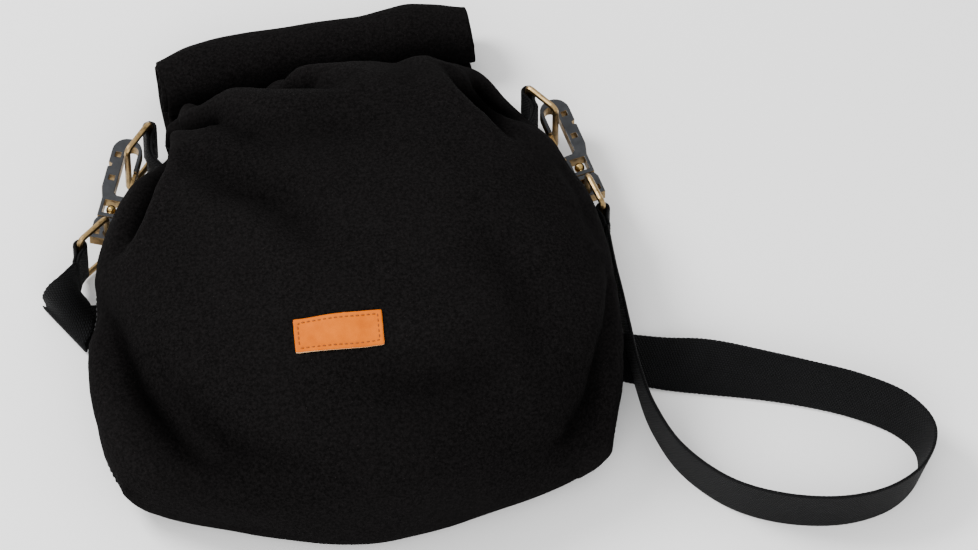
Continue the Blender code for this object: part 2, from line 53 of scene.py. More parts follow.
# Cross-sections of the filled bag, from the base to the neck:
# (y of the side seams, x of the left seam, x of the right seam, height, seam height)
SECTIONS = np.array((
    (-121, -138, 124, 58, 20),
    (-100, -146, 131, 78, 28),
    (-68, -149, 136, 92, 36),
    (-30, -147, 136, 98, 40),
    (8, -139, 131, 97, 40),
    (44, -124, 120, 92, 36),
    (74, -107, 107, 86, 30),
    (96, -97, 94, 76, 24),
    (111, -93, 83, 60, 17),
    (118.5, -91, 78, 38, 12),
    (122, -90, 75, 17, 8.5),
), float)
BASE_BULGE, BULGE_END, BULGE_POWER = 38, 8, 1.4
NECK_SKEW, SKEW_START = 0.105, 44
FLAT_SHARE = 0.72         # how much of the back's half width lies flat on the floor
ROUND = 0.8               # under 1 makes a section squarer than an ellipse

STRAP_WIDTH, STRAP_THICK = 30.0, 1.8
# The strap's centre line from the right end to the left: (x, y, z, lean of its width in degrees).
# At 0 it stands on its edge and at 90 it lies flat.
STRAP_ROUTE = (
    (136.35, 10.3, 22, 0), (137.8, -14, 21.2, 0), (139.8, -32, 19.4, 0), (141.6, -52, 17.4, 0),
    (144, -76, 16.0, 0), (149, -101, 15.6, 0), (161, -128, 15.5, 0), (183, -151, 15.5, 0),
    (210, -164, 15.5, 0), (241, -169, 15.5, 2), (268, -164, 15.4, 6), (286.5, -149.5, 15.2, 12),
    (292, -130, 14.9, 18), (281, -112, 14.6, 21), (259, -98, 14.5, 22), (232, -87, 14.4, 24),
    (204, -77, 13.2, 34), (180, -68, 9.7, 55), (158, -60, 4.4, 78), (136, -52, 1.5, 90),
    (110, -47, 1.3, 90), (75, -42, 1.3, 90), (38, -38, 1.3, 90), (0, -33, 1.3, 90),
    (-38, -26, 1.3, 90), (-75, -18, 1.3, 90), (-110, -10.5, 1.3, 90), (-132, -6.4, 1.4, 90),
)
# How it comes out from under the bag and folds up to the left ring: (spot, direction of its width).
STRAP_TURN = (
    ((-146, -4.2, 1.4), (-0.45, 0.89, 0)),
    ((-154.5, -3.6, 1.4), (-0.56, 0.83, 0)),
    ((-158.9, -4.2, 2.9), (-0.56, 0.83, 0)),
    ((-158, -1.4, 5.2), (-0.62, 0.78, 0.02)),
    ((-156, 4.2, 12.2), (-0.78, 0.3, 0.46)),
    ((-153.2, 10.2, 19.4), (-0.5, -0.05, 0.86)),
    ((-150.65, 15.7, 22.0), (0, 0, 1)),
)

# ---------------------------------------------------------------- camera, floor and light, metres

CAMERA_AZIMUTH, CAMERA_ELEVATION = -6.0, 57.0
CAMERA_DISTANCE = 5.0
VIEW_WIDTH = 0.52865             # how wide the view is at the bag
SENSOR = 36.0                    # width of the camera's sensor, in millimetres
AIM_RIGHT, AIM_UP = 0.0708, 0.0135

WORLD_STRENGTH = 1.3
FLOOR_HALF = 6
FLOOR_COLOUR, FLOOR_ROUGHNESS = (0.93, 0.93, 0.93, 1), 0.9
LIGHT_AIM = (0, 0, 0.03)
LIGHTS = (
    # name, place, size, power
    ("key", (-1.1, 0.7, 1.4), 0.8, 42),
    ("front", (-0.2, -1.6, 1.2), 1.6, 26),
)


def new_object(name, data):
    made = bpy.data.objects.new(name, data)
    bpy.context.scene.collection.objects.link(made)
    return made


def view_axes():
    """Directions to the right, up and into the view."""
    az, el = radians(CAMERA_AZIMUTH), radians(CAMERA_ELEVATION)
    right = Vector((cos(az), sin(az), 0))
    forward = Vector((-sin(az) * cos(el), cos(az) * cos(el), -sin(el)))
    return right, right.cross(forward), forward


def make_camera():
    right, up, forward = view_axes()
    data = bpy.data.cameras.new("camera")
    data.sensor_width = SENSOR
    data.lens = SENSOR * CAMERA_DISTANCE / VIEW_WIDTH
    camera = new_object("camera", data)
    target = right * AIM_RIGHT + up * AIM_UP
    turn = Matrix((right, up, -forward)).transposed().to_4x4()
    camera.matrix_world = Matrix.Translation(target - forward * CAMERA_DISTANCE) @ turn
    bpy.context.scene.camera = camera


def make_light(name, spot, size, power):
    data = bpy.data.lights.new(name, "AREA")
    data.shape = "DISK"
    data.size = size
    data.energy = power
    lamp = new_object(name, data)
    lamp.location = spot
    aim = Vector(LIGHT_AIM) - Vector(spot)
    lamp.rotation_euler = aim.to_track_quat("-Z", "Y").to_euler()


def make_world():
    world = bpy.data.worlds.new("studio")
    world.use_nodes = True
    sky = world.node_tree.nodes["Background"]
    sky.inputs["Color"].default_value = (1, 1, 1, 1)
    sky.inputs["Strength"].default_value = WORLD_STRENGTH
    bpy.context.scene.world = world


def make_floor():
    made = bmesh.new()
    bmesh.ops.create_grid(made, x_segments=2, y_segments=2, size=FLOOR_HALF)
    mesh = bpy.data.meshes.new("floor")
    made.to_mesh(mesh)
    made.free()
    floor = new_object("floor", mesh)
    paper = bpy.data.materials.new("pale_paper")
    paper.use_nodes = True
    shader = paper.node_tree.nodes["Principled BSDF"]
    shader.inputs["Base Color"].default_value = FLOOR_COLOUR
    shader.inputs["Roughness"].default_value = FLOOR_ROUGHNESS
    mesh.materials.append(paper)


# ---------------------------------------------------------------- curves and meshes

def smooth(rows, t):
    """Catmull-Rom curve through rows at t = 0, 1, 2 and so on; t may be an array."""
    rows = np.asarray(rows, float)
    t = np.asarray(t, float)
    last = len(rows) - 1
    i = np.clip(t.astype(int), 0, last - 1)
    f = (t - i)[..., None]
    p0, p1, p2, p3 = (rows[np.clip(i + k, 0, last)] for k in (-1, 0, 1, 2))
    return p1 + 0.5 * f * ((p2 - p0) + f * (2 * p0 - 5 * p1 + 4 * p2 - p3 + f * (3 * p1 - p0 - 3 * p2 + p3)))


def ease(value, start, end):
    """From 0 at start to 1 at end, level at both."""
    share = np.clip((np.asarray(value, float) - start) / (end - start), 0, 1)
    return share * share * (3 - 2 * share)


def unit(vectors):
    return vectors / np.maximum(np.linalg.norm(vectors, axis=-1, keepdims=True), 1e-9)


def mesh_piece(name, points, faces):
    """A smooth-shaded piece from points in millimetres."""
    mesh = bpy.data.meshes.new(name)
    mesh.from_pydata([tuple(p) for p in np.asarray(points, float) * MM], [], faces)
    mesh.validate()
    mesh.shade_smooth()
    return new_object(name, mesh)


def grid_faces(rows, columns, close_columns=False, start=0):
    """Quads of a grid of rows x columns points, closed round the columns or not."""
    faces = []
    across = columns if close_columns else columns - 1
    for i in range(rows - 1):
        for j in range(across):
            k = (j + 1) % columns
            faces.append((start + i * columns + j, start + i * columns + k,
                          start + (i + 1) * columns + k, start + (i + 1) * columns + j))
    return faces


def tube_faces(rows, columns, start=0):
    """Quads round a tube of rows x columns points, and a cap at each end."""
    last = start + (rows - 1) * columns
    caps = [tuple(range(start, start + columns))[::-1], tuple(range(last, last + columns))]
    return grid_faces(rows, columns, True, start) + caps


def sheet_faces(rows, columns):
    """Faces of two grids of rows x columns points, one over the other, and of the rim that joins them."""
    count = rows * columns
    top = grid_faces(rows, columns)
    low = [tuple(k + count for k in face[::-1]) for face in top]
    rim = list(range(columns)) + [i * columns + columns - 1 for i in range(1, rows)]
    rim += [(rows - 1) * columns + j for j in range(columns - 2, -1, -1)]
    rim += [i * columns for i in range(rows - 2, 0, -1)]
    sides = [(a, b, b + count, a + count) for a, b in zip(rim, rim[1:] + rim[:1])]
    return top + low, sides


def swept(name, path, widths, normals, outline):
    """An outline of (across, out) points swept along a path, as a tube with end caps."""
    across, out = outline[None, :, :1], outline[None, :, 1:]
    rings = path[:, None, :] + across * widths[:, None, :] + out * normals[:, None, :]
    return mesh_piece(name, rings.reshape(-1, 3), tube_faces(*rings.shape[:2]))


def tidy_normals(piece):
    """Turns all faces outwards."""
    made = bmesh.new()
    made.from_mesh(piece.data)
    bmesh.ops.recalc_face_normals(made, faces=made.faces)
    made.to_mesh(piece.data)
    made.free()


def crease_distance(points, line):
    """Distance to a 3-D polyline, signed by the side in plan, and share of its length."""
    line = np.asarray(line, float)
    best = np.full(points.shape[:-1], np.inf)
    signed = np.zeros(points.shape[:-1])
    share = np.zeros(points.shape[:-1])
    for k, (a, b) in enumerate(zip(line, line[1:])):
        run = b - a
        s = np.clip(((points - a) @ run) / (run @ run), 0, 1)
        gap = points - (a + s[..., None] * run)
        distance = np.linalg.norm(gap, axis=-1)
        side = np.sign(run[0] * gap[..., 1] - run[1] * gap[..., 0])
        near = distance < best
        best = np.where(near, distance, best)
        signed = np.where(near, side * distance, signed)
        share = np.where(near, (k + s) / (len(line) - 1), share)
    return signed, share


# ---------------------------------------------------------------- materials

BLACK, WHITE = (0, 0, 0), (1, 1, 1)
MIX_COLOURS, MIX_RESULT = (6, 7), 2       # where a Mix node keeps its two colours and the mixed one

CANVAS_DEEP, CANVAS_FACE = (0.0024, 0.0022, 0.0022), (0.0035, 0.0032, 0.0032)
CANVAS_HEATHER, CANVAS_LINT = (0.0074, 0.0067, 0.0068), (0.02, 0.017, 0.017)
CANVAS_SHEEN, CANVAS_SPECULAR = 0.002, 0.010
# Painted shade and light on the canvas: how light it is, from the deepest hollow at 0 to the highest ridge
# at 1.
CANVAS_PAINTED_SHADE = ((0.0, 0.10), (0.28, 0.66), (0.5, 0.85), (1.0, 1))

LEATHER_DARK, LEATHER_LIGHT = (0.46, 0.092, 0.0), (0.60, 0.132, 0.0)

WEAVE_COLUMN, WEAVE_PICK = 0.00125, 0.0016       # metres across and along the strap
# painted shade: the colour of the low gaps between the weave's cords
WEBBING_GAP_SHADE = (0.0008, 0.0008, 0.0009)
WEBBING_DARK, WEBBING_LIGHT = (0.0034, 0.0036, 0.0041), (0.0066, 0.0069, 0.0078)

BRASS_DARK, BRASS_BRIGHT = 0.45, 1.15            # shares of the colour of a metal's edges
PLATING_DARK = 0.7
EDGE_RADIUS = 0.0007                             # metres
PLAIN_DARK = 0.82


class Shade:
    """A short way to write a node material."""

    def __init__(self, name):
        self.material = bpy.data.materials.new(name)
        self.material.use_nodes = True
        self.tree = self.material.node_tree
        self.shader = self.tree.nodes["Principled BSDF"]

    def node(self, kind, **inputs):
        made = self.tree.nodes.new(kind)
        for key, value in inputs.items():
            if key in made.inputs:
                self.feed(made.inputs[key], value)
            else:
                setattr(made, key, value)
        return made

    def feed(self, socket, value):
        if isinstance(value, bpy.types.NodeSocket):
            self.tree.links.new(value, socket)
        else:
            socket.default_value = value

    def set(self, **inputs):
        for key, value in inputs.items():
            self.feed(self.shader.inputs[key.replace("_", " ")], value)

    def place(self):
        """The spot in the piece's own space, in metres."""
        return self.node("ShaderNodeTexCoord").outputs["Object"]

    def math(self, operation, a, b=0.0, c=0.0):
        made = self.tree.nodes.new("ShaderNodeMath")
        made.operation = operation
        for socket, value in zip(made.inputs, (a, b, c)):
            self.feed(socket, value)
        return made.outputs[0]

    def noise(self, scale, detail, roughness):
        made = self.node("ShaderNodeTexNoise", Scale=scale, Detail=detail, Roughness=roughness)
        self.feed(made.inputs["Vector"], self.place())
        return made.outputs["Fac"]

    def ramp(self, fac, stops):
        made = self.tree.nodes.new("ShaderNodeValToRGB")
        self.feed(made.inputs["Fac"], fac)
        while len(made.color_ramp.elements) < len(stops):
            made.color_ramp.elements.new(0.5)
        for element, (position, colour) in zip(made.color_ramp.elements, stops):
            element.position = position
            element.color = (*colour, 1)
        return made.outputs["Color"]

    def mix(self, fac, a, b):
        made = self.tree.nodes.new("ShaderNodeMix")
        made.data_type = "RGBA"
        self.feed(made.inputs["Factor"], fac)
        for index, value in zip(MIX_COLOURS, (a, b)):
            self.feed(made.inputs[index], value if isinstance(value, bpy.types.NodeSocket) else (*value, 1))
        return made.outputs[MIX_RESULT]

    def tint(self, colour, grey):
        made = self.tree.nodes.new("ShaderNodeVectorMath")
        made.operation = "MULTIPLY"
        for socket, value in zip(made.inputs, (colour, grey)):
            self.feed(socket, value)
        return made.outputs[0]

    def bump(self, height, strength, distance, before=None):
        made = self.node("ShaderNodeBump", Strength=strength, Distance=distance, Height=height)
        if before:
            self.feed(made.inputs["Normal"], before)
        return made.outputs["Normal"]


def canvas_material():
    """Black cloth with light fibres, with shade painted into the hollows that the relief attribute tells of
    and light painted onto its ridges.
    """
    shade = Shade("brushed_canvas")
    cloudy = shade.noise(24, 4, 0.6)
    base = shade.ramp(cloudy, ((0.3, CANVAS_DEEP), (0.7, CANVAS_FACE)))
    heather = shade.ramp(shade.noise(640, 5, 0.75), ((0.4, BLACK), (0.64, WHITE)))
    lint = shade.ramp(shade.noise(1100, 2, 0.5), ((0.70, BLACK), (0.80, WHITE)))
    colour = shade.mix(heather, base, CANVAS_HEATHER)
    colour = shade.mix(lint, colour, CANVAS_LINT)
    bump = shade.bump(shade.noise(1700, 2, 0.6), 0.4, 0.0004)
    bump = shade.bump(shade.noise(420, 5, 0.65), 0.35, 0.0006, bump)
    relief = shade.node("ShaderNodeAttribute", attribute_name="relief").outputs["Fac"]
    height = shade.math("MULTIPLY_ADD", relief, 0.5, 0.5)
    # painted shade: the relief darkens the colour, sheen and specular in hollows and lightens them on ridges
    painted_shade = shade.ramp(height, [(place, (grey, grey, grey)) for place, grey in CANVAS_PAINTED_SHADE])
    shade.set(Base_Color=shade.tint(colour, painted_shade), Roughness=0.95, Normal=bump,
              Sheen_Weight=shade.math("MULTIPLY", painted_shade, CANVAS_SHEEN), Sheen_Roughness=0.5,
              Specular_IOR_Level=shade.math("MULTIPLY", painted_shade, CANVAS_SPECULAR))
    return shade.material


def leather_material():
    shade = Shade("tan_leather")
    grain = shade.node("ShaderNodeTexVoronoi", Scale=1400.0)
    shade.feed(grain.inputs["Vector"], shade.place())
    cloudy = shade.noise(120, 4, 0.6)
    base = shade.ramp(cloudy, ((0.3, LEATHER_DARK), (0.7, LEATHER_LIGHT)))
    bump = shade.bump(grain.outputs["Distance"], 0.25, 0.0002)
    bump = shade.bump(shade.noise(300, 4, 0.6), 0.2, 0.0004, bump)
    shade.set(Base_Color=base, Roughness=0.62, Normal=bump, Specular_IOR_Level=0.06)
    return shade.material


def plain_material(name, colour, roughness, metallic=0.0):
    shade = Shade(name)
    tone = shade.noise(700, 2, 0.5)
    darker = tuple(c * PLAIN_DARK for c in colour)
    base = shade.ramp(tone, ((0.3, darker), (0.7, colour)))
    shade.set(Base_Color=base, Roughness=roughness, Metallic=metallic)
    return shade.material


def aged_metal(name, edge, edge_rough, face=None, face_rough=0.4):
    """Brass with worn patches; its flat faces may carry a darker plating."""
    shade = Shade(name)
    patches = shade.noise(260, 5, 0.65)
    dark = tuple(c * BRASS_DARK for c in edge)
    bright = tuple(min(c * BRASS_BRIGHT, 1) for c in edge)
    colour = shade.ramp(patches, ((0.32, dark), (0.52, edge), (0.8, bright)))
    rough = edge_rough
    if face:
        normal = shade.node("ShaderNodeTexCoord").outputs["Normal"]
        split = shade.node("ShaderNodeSeparateXYZ", Vector=normal)
        flat = shade.math("ABSOLUTE", split.outputs["Z"])
        mask = shade.ramp(flat, ((0.72, BLACK), (0.9, WHITE)))
        tone = shade.ramp(patches, ((0.3, tuple(c * PLATING_DARK for c in face)), (0.7, face)))
        colour = shade.mix(mask, colour, tone)
        rough = shade.math("ADD", shade.math("MULTIPLY", mask, face_rough - edge_rough), edge_rough)
    rounded_edges = shade.node("ShaderNodeBevel", Radius=EDGE_RADIUS).outputs["Normal"]
    bump = shade.bump(shade.noise(900, 3, 0.6), 0.12, 0.0002, rounded_edges)
    shade.set(Base_Color=colour, Metallic=1.0, Roughness=rough, Normal=bump)
    return shade.material


def ribbed_webbing_material():
    """Webbing read from its UV map: u along the strap and v across it, both in metres."""
    shade = Shade("ribbed_webbing")
    split = shade.node("ShaderNodeSeparateXYZ", Vector=shade.node("ShaderNodeTexCoord").outputs["UV"])
    along, across = split.outputs["X"], split.outputs["Y"]
    column = shade.math("DIVIDE", across, WEAVE_COLUMN)
    shift = shade.math("MULTIPLY", shade.math("PINGPONG", shade.math("FLOOR", column), 1.0), pi)
    pick = shade.math("SINE", shade.math("ADD", shade.math("MULTIPLY", along, 2 * pi / WEAVE_PICK), shift))
    cord = shade.math("ABSOLUTE", shade.math("SINE", shade.math("MULTIPLY", column, pi)))
    height = shade.math("MULTIPLY", shade.math("ADD", shade.math("MULTIPLY", pick, 0.5), 0.5), cord)
    tone = shade.noise(90, 3, 0.6)
    base = shade.ramp(tone, ((0.3, WEBBING_DARK), (0.75, WEBBING_LIGHT)))
    # painted shade darkens the weave where its cords dip low
    colour = shade.mix(height, WEBBING_GAP_SHADE, base)
    bump = shade.bump(height, 0.9, 0.0005)
    bump = shade.bump(shade.noise(2600, 2, 0.5), 0.25, 0.0002, bump)
    shade.set(Base_Color=colour, Roughness=0.75, Normal=bump,
              Sheen_Weight=0.012, Sheen_Roughness=0.4, Specular_IOR_Level=0.10)
    return shade.material


# ---------------------------------------------------------------- finishes

MATERIALS = {
    "canvas": canvas_material(),
    "webbing": ribbed_webbing_material(),
    "leather": leather_material(),
    "leather_edge": plain_material("raw_leather_edge", (0.80, 0.52, 0.28), 0.85),
    "thread": plain_material("black_thread", (0.007, 0.007, 0.0075), 0.85),
    "tan_thread": plain_material("tan_thread", (0.20, 0.042, 0.0), 0.8),
    "brass": aged_metal("antique_brass", (0.32, 0.215, 0.095), 0.36),
    "polished": aged_metal("bright_brass", (0.46, 0.31, 0.11), 0.26),
    "plated": aged_metal("plated_brass", (0.30, 0.20, 0.085), 0.36, (0.052, 0.054, 0.058), 0.4),
    "steel": plain_material("spring_steel", (0.5, 0.5, 0.5), 0.35, 1.0),
    "stiffener": plain_material("stiffener", (0.03, 0.03, 0.03), 0.6),
}
# The finish of a CAD node is that of the first word here that its name holds.
FINISHES = {
    "hook_body": "plated", "shackle": "plated", "gate_pin": "brass", "spring": "steel",
    "post": "polished", "ring": "brass", "hook_gate": "brass", "label": "leather",
    "stiffener": "stiffener", "roll": "canvas", "panel": "canvas", "webbing": "webbing",
    "strap": "webbing",
}


def paint(piece, key):
    piece.data.materials.clear()
    piece.data.materials.append(MATERIALS[key])


# ---------------------------------------------------------------- bag body

# Room under the back for the strap: its height, and how far from the strap it begins and ends to fall.
CHANNEL_DEPTH, CHANNEL_NEAR, CHANNEL_FAR = 4.0, 18, 40
FLAT_LEAN = 50            # the strap needs that room where it leans further than this


def body_spot(t, across, z):
    """A point of section t, across it from -1 at the left seam to 1 at the right one."""
    part = smooth(SECTIONS, t)
    y, left, right = part[..., 0], part[..., 1], part[..., 2]
    x = (left + right) / 2 + across * (right - left) / 2
    bulge = BASE_BULGE * (1 - ease(y, SECTIONS[0][0], BULGE_END))
    skew = NECK_SKEW * x * ease(y, SKEW_START, SECTIONS[-1][0])
    return np.stack([x, y - bulge * (1 - np.abs(across) ** BULGE_POWER) + skew, z + 0 * x], axis=-1)


def body_grid(rows, columns):
    """Points of the filled bag: front from the right seam to the left one, then the back."""
    t = np.linspace(0, len(SECTIONS) - 1, rows)[:, None]
    part = smooth(SECTIONS, t)
    height, seam = part[..., 3], part[..., 4]
    angle = np.linspace(0, pi, columns + 1)[None, :]
    share = np.abs(np.cos(angle)) ** ROUND * np.sign(np.cos(angle))
    rise = (height - seam) * np.abs(np.sin(angle)) ** ROUND
    front = body_spot(t + 0 * angle, share + 0 * t, seam + rise)

    half = -share[:, 1:-1]
    turn = np.clip(np.abs(half) - FLAT_SHARE, 0, 1) / (1 - FLAT_SHARE)
    level = np.sqrt(1 - turn ** 2)
    back = body_spot(t + 0 * half, half + 0 * t, seam * (1 - level))
    back[..., 2] += channel_lift(back[..., 0], back[..., 1]) * level
    return np.concatenate([front, back], axis=1)


def channel_lift(x, y):
    """How far the back is lifted to make room for the strap that runs there."""
    line = [row[:2] for row in STRAP_ROUTE if row[3] > FLAT_LEAN] + [STRAP_TURN[0][0][:2]]
    line = np.array(line, float)
    nearest = np.full(x.shape, np.inf)
    for a, b in zip(line, line[1:]):
        run = b - a
        s = np.clip(((x - a[0]) * run[0] + (y - a[1]) * run[1]) / (run @ run), 0, 1)
        nearest = np.minimum(nearest, np.hypot(x - a[0] - s * run[0], y - a[1] - s * run[1]))
    return CHANNEL_DEPTH * (1 - ease(nearest, CHANNEL_NEAR, CHANNEL_FAR))


# Folds of the filled cloth in plan: (points, groove depth and width, ridge height, offset and width).
# The ridge lies to the left of the line's direction for a positive offset.
FOLDS = (
    (((-97, 90), (-102, 66), (-107, 44), (-115, 25), (-127, 2)), 22.0, 7, 5.0, 12, 7),
    (((-150, -2), (-143, -30), (-136, -57), (-129, -86),
      (-121, -104), (-110, -121), (-95, -134), (-66, -147)), 12.0, 12, 3.6, -20, 12),
    (((128, -66), (119, -102), (110, -121), (95, -141), (52, -160)), 11.0, 14, 3.0, 22, 13),
    (((-92, 64), (-72, 31), (-47, 12), (-30, -10), (-14, -38)), 8.0, 14, 3.0, -20, 12),
    (((-116, -78), (-94, -111), (-73, -133), (-26, -152)), 7.0, 12, 2.0, 19, 11),
    (((56, 108), (70, 86), (84, 64), (92, 42)), 10.0, 9, 3.0, -17, 11),
    (((133, -36), (130, -64), (117, -130)), 5.0, 7, 2.4, -11, 8),
    (((-82, 100), (-70, 82), (-44, 52)), 7.0, 10, 2.6, 16, 10),
    (((-46, 118), (-28, 103), (6, 86)), 8.0, 9, 3.0, 14, 10),
    (((-99, 99), (-88, 91), (-79, 86), (-70, 84)), 18.0, 5.5, 3.0, 11, 7),
    (((-44, 109), (-32, 105), (-22, 103), (-10, 104)), 16.0, 4.5, 2.5, 9, 6),
    (((30, 122), (36, 104), (44, 80)), 4.5, 11, 1.8, 16, 10),
    (((-18, -100), (30, -114), (78, -102)), 6.5, 17, 2.6, 26, 15),
    (((112, 40), (124, 8), (130, -24)), 3.4, 10, 1.4, 14, 9),
    (((-60, 64), (-20, 54), (30, 60)), 4.6, 15, 2.0, 24, 14),
    (((60, -20), (84, -60), (92, -104)), 5.0, 15, 2.2, 24, 14),
)
# Places where the cloth stands out or is drawn in: (x, y, outward move, radius).
SWELLS = (
    (-90, 102, -5, 5), (-80, 108, 5, 6), (-62, 109, -8, 13), (-50, 114, -4, 7), (-40, 114, 5, 9),
    (-99, 97, 7, 10), (-30, 116, 4, 9), (0, 115, 4, 18), (30, 114, 2, 20), (92, 88, -16, 22),
    (86, 104, -12, 14), (122, 42, -5, 14), (-136, -112, 4, 16), (20, -40, 3, 70), (-60, -60, 2, 40),
)
# Uneven filling and slack: (height, size, shift of the noise).
LUMPS = ((2.6, 62, (0, 0, 0)), (1.3, 24, (7, 3, 1)), (0.3, 8, (0, 0, 0)))
HOLLOW_DEPTH, RIDGE_HEIGHT = 13.0, 5.0   # what counts as the deepest hollow and the highest ridge, for the painted shade and light
FIRM_HEIGHT, FIRM_SHARE = 14, 0.05       # below this height the cloth moves less, down to this share
LOWEST = 0.3
FOLD_END, FOLD_TAPER, FOLD_SHARPNESS = 0.03, 0.7, 1.5


def sculpt(points, normals, front):
    """Folds, gathers and an uneven filling on the plain shape; front picks the points of the front.

    It also gives each point's relief, from -1 in a deep hollow to 1 on a ridge, from which the canvas paints
    shade and light.
    """
    plan, heights = points[front, :2], points[front, 2]
    move = np.zeros(len(points))

    def lifted(x, y):
        near = np.argmin((plan[:, 0] - x) ** 2 + (plan[:, 1] - y) ** 2)
        return np.array((x, y, heights[near]))

    for line, depth, width, ridge, offset, ridge_width in FOLDS:
        spots = [lifted(x, y) for x, y in smooth(line, np.linspace(0, len(line) - 1, 4 * len(line)))]
        signed, share = crease_distance(points, spots)
        taper = np.sin(pi * np.clip(share, FOLD_END, 1 - FOLD_END)) ** FOLD_TAPER
        fold = -depth * np.exp(-(np.abs(signed) / width) ** FOLD_SHARPNESS)
        fold = fold + ridge * np.exp(-((signed - offset) / ridge_width) ** 2)
        move += fold * taper
    for x, y, out, radius in SWELLS:
        gap = np.linalg.norm(points - lifted(x, y), axis=-1)
        move += out * np.exp(-(gap / radius) ** 2)
    relief = np.where(move < 0, move / HOLLOW_DEPTH, move / RIDGE_HEIGHT)
    for index, point in enumerate(points):
        for height, size, shift in LUMPS:
            move[index] += height * noise.noise(Vector(point) / size + Vector(shift))
    loose = np.clip(points[:, 2] / FIRM_HEIGHT, FIRM_SHARE, 1)
    points = points + normals * (move * loose)[:, None]
    points[:, 2] = np.maximum(points[:, 2], LOWEST)
    return points, np.clip(relief, -1, 1)


COVER_ROWS, COVER_COLUMNS = 170, 150      # columns across the front, and as many across the back
CAP_STEPS, CAP_DEPTH, CAP_SHARE = 16, 5.0, 0.6
SOFT_ROWS, SOFT_TURNS = (0.5, 1.7), 160   # sections between which the base's smoothing fades, its turns


def base_cap(ring, columns, steps):
    """Points that round off the base, in arcs from the front's edge down to the back's."""
    rows = []
    for k in range(1, steps):
        angle = pi * k / steps
        for j in range(1, columns):
            top, low = ring[j], ring[2 * columns - j]
            half = (top[2] - low[2]) / 2
            out = min(CAP_DEPTH, half * CAP_SHARE) * sin(angle)
            rows.append((top + low) / 2 + np.array((0, -out, half * cos(angle))))
    return np.array(rows)


def rounded(piece, weights):
    """Points and outward normals of the piece, its weighted vertices smoothed, in millimetres."""
    group = piece.vertex_groups.new(name="soft_base")
    for index in np.flatnonzero(weights > 0):
        group.add([int(index)], float(weights[index]), "REPLACE")
    soften = piece.modifiers.new("rounded_base", "SMOOTH")
    soften.vertex_group = group.name
    soften.iterations = SOFT_TURNS
    shape = piece.evaluated_get(bpy.context.evaluated_depsgraph_get()).data
    points = np.array([v.co for v in shape.vertices]) / MM
    normals = np.array([v.normal for v in shape.vertices])
    piece.modifiers.remove(soften)
    piece.vertex_groups.remove(group)
    return points, normals


def cover_faces(rows, columns, steps):
    """Faces round the bag, over the base's cap and across the flat end at the neck."""
    count = 2 * columns
    faces = grid_faces(rows, count, True)
    last = (rows - 1) * count

    def spot(k, j):
        if k == 0 or j in (0, columns):
            return j
        if k == steps:
            return count - j
        return rows * count + (k - 1) * (columns - 1) + j - 1

    for j in range(columns):
        for k in range(steps):
            corners = [spot(k, j), spot(k, j + 1), spot(k + 1, j + 1), spot(k + 1, j)]
            faces.append(tuple(dict.fromkeys(corners)))
        corners = [last + j, last + j + 1, last + (count - j - 1) % count, last + (count - j) % count]
        faces.append(tuple(dict.fromkeys(corners)))
    return faces


def bag_cover():
    """The filled bag's cloth, from its base to its neck, with the folds sculpted in."""
    rows, columns = COVER_ROWS, COVER_COLUMNS
    count = 2 * columns
    grid = body_grid(rows, columns)
    cap = base_cap(grid[0], columns, CAP_STEPS)
    faces = cover_faces(rows, columns, CAP_STEPS)
    cover = mesh_piece("bag_cover", np.concatenate([grid.reshape(-1, 3), cap]), faces)
    tidy_normals(cover)
    place = np.repeat(np.linspace(0, len(SECTIONS) - 1, rows), count)
    weights = np.concatenate([1 - ease(place, *SOFT_ROWS), np.ones(len(cap))])
    points, normals = rounded(cover, weights)
    front = np.zeros(len(points), bool)
    front[:rows * count] = np.tile(np.arange(count) <= columns, rows)
    points, relief = sculpt(points, normals, front)
    cover.data.vertices.foreach_set("co", (points * MM).ravel())
    # the relief attribute carries the shade and light painted on the canvas
    cover.data.attributes.new("relief", "FLOAT", "POINT").data.foreach_set("value", relief)
    cover.data.update()
    paint(cover, "canvas")
    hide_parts("front_panel", "back_panel", "base_panel")
    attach(cover, "bag")
    return cover


def surface_tree(piece):
    mesh = piece.data
    return BVHTree.FromPolygons([v.co for v in mesh.vertices], [list(p.vertices) for p in mesh.polygons])


DROP_HEIGHT = 300


def drop_on(tree, x, y):
    """Point and normal of the surface straight below x, y, all in millimetres."""
    spot, normal, _, _ = tree.ray_cast(Vector((x, y, DROP_HEIGHT)) * MM, Vector((0, 0, -1)))
    return np.array(spot) / MM, np.array(normal)


# ---------------------------------------------------------------- stitches

# One stitch from end to end: (share of its length, share of its radius, rise in radii).
STITCH_RINGS = ((0, 0.35, -0.2), (0.16, 0.85, 0.35), (0.5, 1.0, 0.55), (0.84, 0.85, 0.35), (1, 0.35, -0.2))
STITCH_SIDES = 6


def stitches(name, finish, spots, normals, length, radius, pitch):
    """A line of stitches laid along points on a surface."""
    spots, normals = np.asarray(spots, float), np.asarray(normals, float)
    run = np.concatenate([[0], np.cumsum(np.linalg.norm(np.diff(spots, axis=0), axis=1))])
    points, faces = [], []
    for middle in np.arange(pitch / 2, run[-1] - pitch / 4, pitch):
        ends = [np.array([np.interp(middle + s, run, spots[:, k]) for k in range(3)])
                for s in (-length / 2, length / 2)]
        normal = unit(np.array([np.interp(middle, run, normals[:, k]) for k in range(3)]))
        along = unit(ends[1] - ends[0])
        side = np.cross(along, normal)
        faces += tube_faces(len(STITCH_RINGS), STITCH_SIDES, len(points))
        for share, wide, high in STITCH_RINGS:
            centre = ends[0] + (ends[1] - ends[0]) * share + normal * radius * high
            for k in range(STITCH_SIDES):
                turn = 2 * pi * k / STITCH_SIDES
                points.append(centre + radius * wide * (cos(turn) * side + sin(turn) * normal))
    piece = mesh_piece(name, points, faces)
    tidy_normals(piece)
    paint(piece, finish)
    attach(piece, "bag")


# ---------------------------------------------------------------- label

